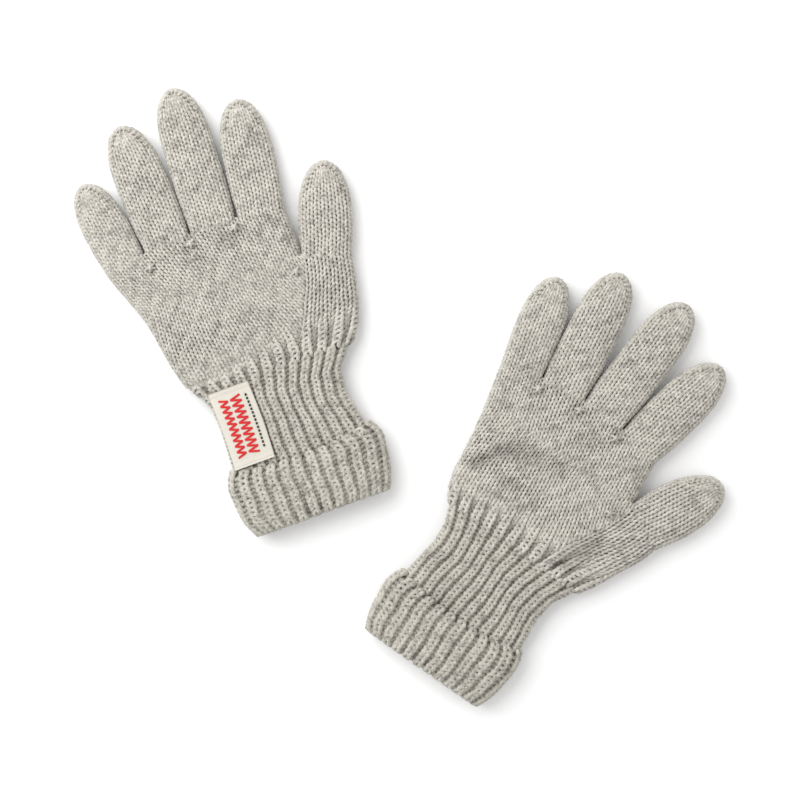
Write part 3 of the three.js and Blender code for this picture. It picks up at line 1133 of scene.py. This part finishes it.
def wrist_surface(glove, first_y):
    """The ribbed wrist, from first_y under the cuff to where the hand starts."""
    courses = int(round(-first_y / RIB_COURSE))
    cuff_top = glove.top["cuff"]
    grid = []
    for course in range(-2, courses + 2):
        y = first_y + course * (-first_y / courses)
        left, right = glove.side_x("wrist", min(y, -0.6))
        middle, half_depth = glove.middle_and_half_depth(y)
        tucked = 1.6 * float(smooth((cuff_top - y + 2) / 5))
        x, z = section((right - left) / 2 - RIB_SIDE_SKIN - tucked, half_depth - RIB_SKIN - tucked, RIB_STEPS)
        slack = 0.25 * swell(x, np.full_like(x, y), glove.seed + 3) * np.sign(z)
        dip_x, dip_width, dip = WRIST_DIPS[glove.side]
        away = ((x - dip_x) / dip_width) ** 2 + ((y - cuff_top) / 5) ** 2
        slack -= np.where(z > 0, dip * np.exp(-away), 0)
        grid.append(np.stack([x + (left + right) / 2, np.full_like(x, y), middle + z + slack], -1))
    return Surface(np.array(grid), -2, 2 * RIB_WALES), courses


def cuff_profile(glove):
    """y and inset along the cuff: from inside its fold, round it and up the outside to the free edge."""
    top, bottom = glove.top["cuff"] - 0.6, glove.bottom["cuff"] + RIB_SKIN * 0.7
    turn = CUFF_FOLD
    half = turn - CUFF_ROUNDING / 2
    inside = [(bottom + turn + y, 2 * turn + 0.05 * y) for y in CUFF_INSIDE]
    fold = [(bottom + turn - turn * math.sin(a), CUFF_ROUNDING + half * (1 + math.cos(a)))
            for a in np.linspace(0, math.pi, 7)]
    outside = [(bottom + turn + y, CUFF_ROUNDING * math.exp(-y / 3.5))
               for y in np.arange(2, top - 6 - bottom - turn, 2)]
    edge = [(top - 4, 0.1), (top - 1.6, 0.5), (top, 1.5), (top - 0.2, 2.6)]
    return np.array(inside + fold + outside + edge)


def cuff_surface(glove):
    profile = cuff_profile(glove)
    length = lengths_along(profile)
    courses = int(length[-1] / RIB_COURSE)
    middle = (glove.low["cuff"] + glove.high["cuff"]) / 2
    half_depth = (glove.high["cuff"] - glove.low["cuff"]) / 2 - RIB_SKIN
    grid = []
    for course in range(courses + 1):
        at = course / courses * length[-1]
        y, inset = (np.interp(at, length, profile[:, k]) for k in (0, 1))
        left, right = glove.side_x("cuff", y)
        x, z = section((right - left) / 2 - RIB_SIDE_SKIN - inset, half_depth - inset, RIB_STEPS)
        across = x / np.abs(x).max()
        flare = CUFF_FLARE * np.abs(across) ** 3 * max(0.0, 1 - (length[-1] - at) / 20)
        slack = 0.3 * swell(x, np.full_like(x, y), glove.seed + 7) * np.sign(z)
        grid.append(np.stack([x + (left + right) / 2, y + flare, middle + z + slack], -1))
    return Surface(np.array(grid), 0, 2 * RIB_WALES), courses


def rib_piece(glove, part, surface, lie, yarns, radius, yarn_courses, liner_courses, sink):
    """The wrist's or the cuff's ribbed fabric. Both ride the wrist's body."""
    yarns.courses(surface, yarn_courses, all_round(2 * RIB_WALES), rib_loops(lie), lambda course: radius)
    piece = knit_object(
        f"{glove.side}_{part}_rib", glove.place, RIBBED, yarns,
        lambda data: add_liner(data, surface, liner_courses, even_wales(2 * RIB_WALES, 4), sink, lie),
    )
    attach(piece, f"{glove.side}_wrist")
    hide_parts(f"{glove.side}_{part}")


def rib_pieces(glove):
    # Each Yarns' range sets how deep the ribs' yarn must lie to be fully darkened by painted shade
    surface, courses = wrist_surface(glove, glove.top["cuff"] - 3 * RIB_COURSE)
    rib_piece(glove, "wrist", surface, ribs(RIB_RELIEF, courses), Yarns(-2.4, 1.3), RIB_YARN,
              np.arange(0.5, courses - 0.2), np.linspace(-1, courses + 0.8, courses), RIB_SINK)
    surface, courses = cuff_surface(glove)
    rib_piece(glove, "cuff", surface, ribs(CUFF_RELIEF, courses), Yarns(-2.1, 1.2), CUFF_YARN,
              np.arange(0.8, courses - 0.5), np.linspace(0.3, courses - 0.2, 2 * courses), CUFF_SINK)


# ---------------------------------------------------------------- darns and label

def darn_piece(glove, name):
    """The darn that closes the hole between two digits: a few short yarns crossing each other."""
    node = f"{glove.side}_{name}_darn"
    low, high = node_box(node, glove.place)
    centre = (low + high) / 2
    yarns = Yarns(-6.0, 0.6)
    t = np.linspace(-1, 1, 9)
    for k, (turn, offset, reach) in enumerate(DARN_YARNS):
        angle = math.radians(turn + 11 * math.sin(3 * k + glove.seed + len(name)))
        run = np.array([math.cos(angle), math.sin(angle)])
        side = np.array([-run[1], run[0]])
        flat = centre[:2] + reach * t[:, None] * run + (offset + 0.4 * t**2)[:, None] * side
        z = high[2] - DARN_SINK - 1.5 * t**2 + 0.25 * k
        points = np.column_stack([flat, z])
        # Painted shade darkens each darn yarn towards its ends
        yarns.add(points, UPWARD[:len(t)], DARN_YARN, 0.7 - 2.2 * np.abs(t) ** 3)
    piece = knit_object(f"{node}_yarns", glove.place, HEATHER, yarns, None)
    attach(piece, f"{glove.side}_hand")
    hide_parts(node)


class Label:
    """Where the woven label lies: over the ribs at the wrist's little-finger side, a little proud of them."""

    def __init__(self, glove):
        self.low, self.high = node_box("left_label", glove.place)
        self.glove = glove

    def at(self, across, along, lift=0.0):
        """Points at shares across (from the little-finger side) and along (from the cuff) of the label."""
        x = self.low[0] + (self.high[0] - self.low[0]) * across
        y = self.low[1] + (self.high[1] - self.low[1]) * along
        x = x + LABEL_WAVE * np.sin(math.pi * along)
        z = np.empty(np.broadcast(x, y).shape)
        for k, height in np.ndenumerate(np.broadcast_to(y, z.shape)):
            left, right = self.glove.side_x("wrist", min(height, -0.6))
            middle, half_depth = self.glove.middle_and_half_depth(height)
            ring_x, ring_z, _ = half_ring((right - left) / 2, half_depth - RIB_SKIN)
            inner = max(x[k], left + LABEL_EDGE) - (left + right) / 2
            z[k] = middle + np.interp(inner, ring_x, ring_z)
        hang = np.maximum(0, 0.25 - across) / 0.25
        z = z + LABEL_LIFT - 1.2 * hang**2 + 0.22 * np.sin(9 * across + 3 * along)
        return np.stack([x, np.broadcast_to(y, z.shape), z + lift], -1)


def label_cloth(label):
    """The label's woven cloth, with a narrow hem turned under at each end."""
    across, along = np.linspace(0, 1, 34), np.linspace(0, 1, 64)
    u, v = np.meshgrid(across, along)
    near_end = np.minimum(v, 1 - v) * LABEL_LENGTH
    stitched = 0.3 * np.exp(-(((near_end - LABEL_SEWN) / 0.3) ** 2))
    hem = LABEL_HEM_RISE * (1 - smooth((near_end - 2.2) / 0.5)) - stitched
    top = label.at(u, v) + np.stack([0 * u, 0 * u, hem], -1)
    under = top - (0, 0, LABEL_CLOTH)
    shell = np.concatenate([top, under[:, ::-1]], axis=1)
    rows, columns = shell.shape[:2]
    quads = grid_quads(rows, columns, True)
    i, j = np.divmod(np.arange(len(quads)), columns)
    bake = quad_corners(i / rows, (i + 1) / rows, 0.95 * j / columns, 0.95 * (j + 1) / columns)
    k = np.arange(columns // 2 - 1)
    start = np.stack([k, columns - 1 - k, columns - 2 - k, k + 1], -1)
    ends = np.concatenate([start[:, ::-1], start + (rows - 1) * columns])
    ends_bake = np.tile([0.0, 0.96, 0.0, 1.0, 0.01, 1.0, 0.01, 0.96], (len(ends), 1)).reshape(-1, 2)
    size = np.array([LABEL_LENGTH, LABEL_GIRTH])
    data = MeshData()
    data.add(shell, np.concatenate([quads, ends]), np.concatenate([bake, ends_bake]),
             np.concatenate([bake, ends_bake]) * size, 0)
    return data.object("left_label_cloth", label.glove.place, [LABEL_CLOTH_MATERIAL])


def satin_bar(yarns, label, start, end, width):
    """A bar of satin stitch: threads laid side by side from start to end, in millimetres across and along."""
    size = label.high - label.low
    start, end = np.array(start, float), np.array(end, float)
    run = (end - start) / np.linalg.norm(end - start)
    side = np.array([-run[1], run[0]])
    count = max(1, int(round(width / THREAD_PITCH)))
    t = np.linspace(0, 1, 5)
    for k in range(count):
        offset = (k - (count - 1) / 2) * width / count
        flat = start + t[:, None] * (end - start) + offset * side
        share = flat / size[:2]
        points = label.at(share[:, 0], share[:, 1], LABEL_CLOTH * 0.1 + 0.18 * np.sin(math.pi * t))
        yarns.add(points, UPWARD[:len(t)], THREAD_RADIUS)


def thread_piece(label, name, material, bars):
    """One piece of the label's threads. Each bar of satin stitch has a start, an end and a width."""
    threads = Yarns()
    for bar in bars:
        satin_bar(threads, label, *bar)
    data = MeshData()
    threads.build(data)
    piece = data.object(f"left_label_{name}", label.glove.place, [material])
    return piece


def label_pieces(glove):
    """The label at the left wrist: its cloth, its plain woven pattern and its stitching."""
    label = Label(glove)
    cloth = label_cloth(label)
    zigzags = []
    for centre, direction, width in ZIGZAG_ROWS:
        for k in range(ZIGZAG_BARS):
            y = ZIGZAG_START + k * ZIGZAG_STEP
            side = direction * (-1) ** k * width / 2
            zigzags.append(((centre - side, y), (centre + side, y + ZIGZAG_STEP), ZIGZAG_BAR))
    starts = [DASH_START + k * DASH_PITCH for k in range(DASHES)]
    dashes = [((DASH_COLUMN, y), (DASH_COLUMN, y + DASH_LENGTH), DASH_WIDTH) for y in starts]
    pieces = [
        thread_piece(label, "zigzags", RED_THREAD, zigzags),
        thread_piece(label, "dashes", DARK_THREAD, dashes),
    ]
    for end, y in (("top", LABEL_LENGTH - LABEL_SEWN), ("bottom", LABEL_SEWN)):
        starts = [STITCH_START + k * STITCH_PITCH for k in range(STITCHES)]
        stitches = [((x, y), (x + STITCH_LENGTH, y), STITCH_WIDTH) for x in starts]
        piece = thread_piece(label, f"{end}_stitches", CREAM_THREAD, stitches)
        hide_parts(f"left_label_stitching_{end}")
        pieces.append(piece)
    for piece in (cloth, *pieces):
        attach(piece, "left_wrist")
    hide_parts("left_label")


make_camera()
make_floor()
make_lights()
for number, side in enumerate(("left", "right")):
    glove = Glove(side, 1.7 + 2.9 * number)
    hand_pieces(glove)
    rib_pieces(glove)
    for name in DARNS:
        darn_piece(glove, name)
    if side == "left":
        label_pieces(glove)
    for k, digit in enumerate(DIGITS):
        digit_piece(side, digit, k + 5 * number)
        tip_link_piece(side, digit)
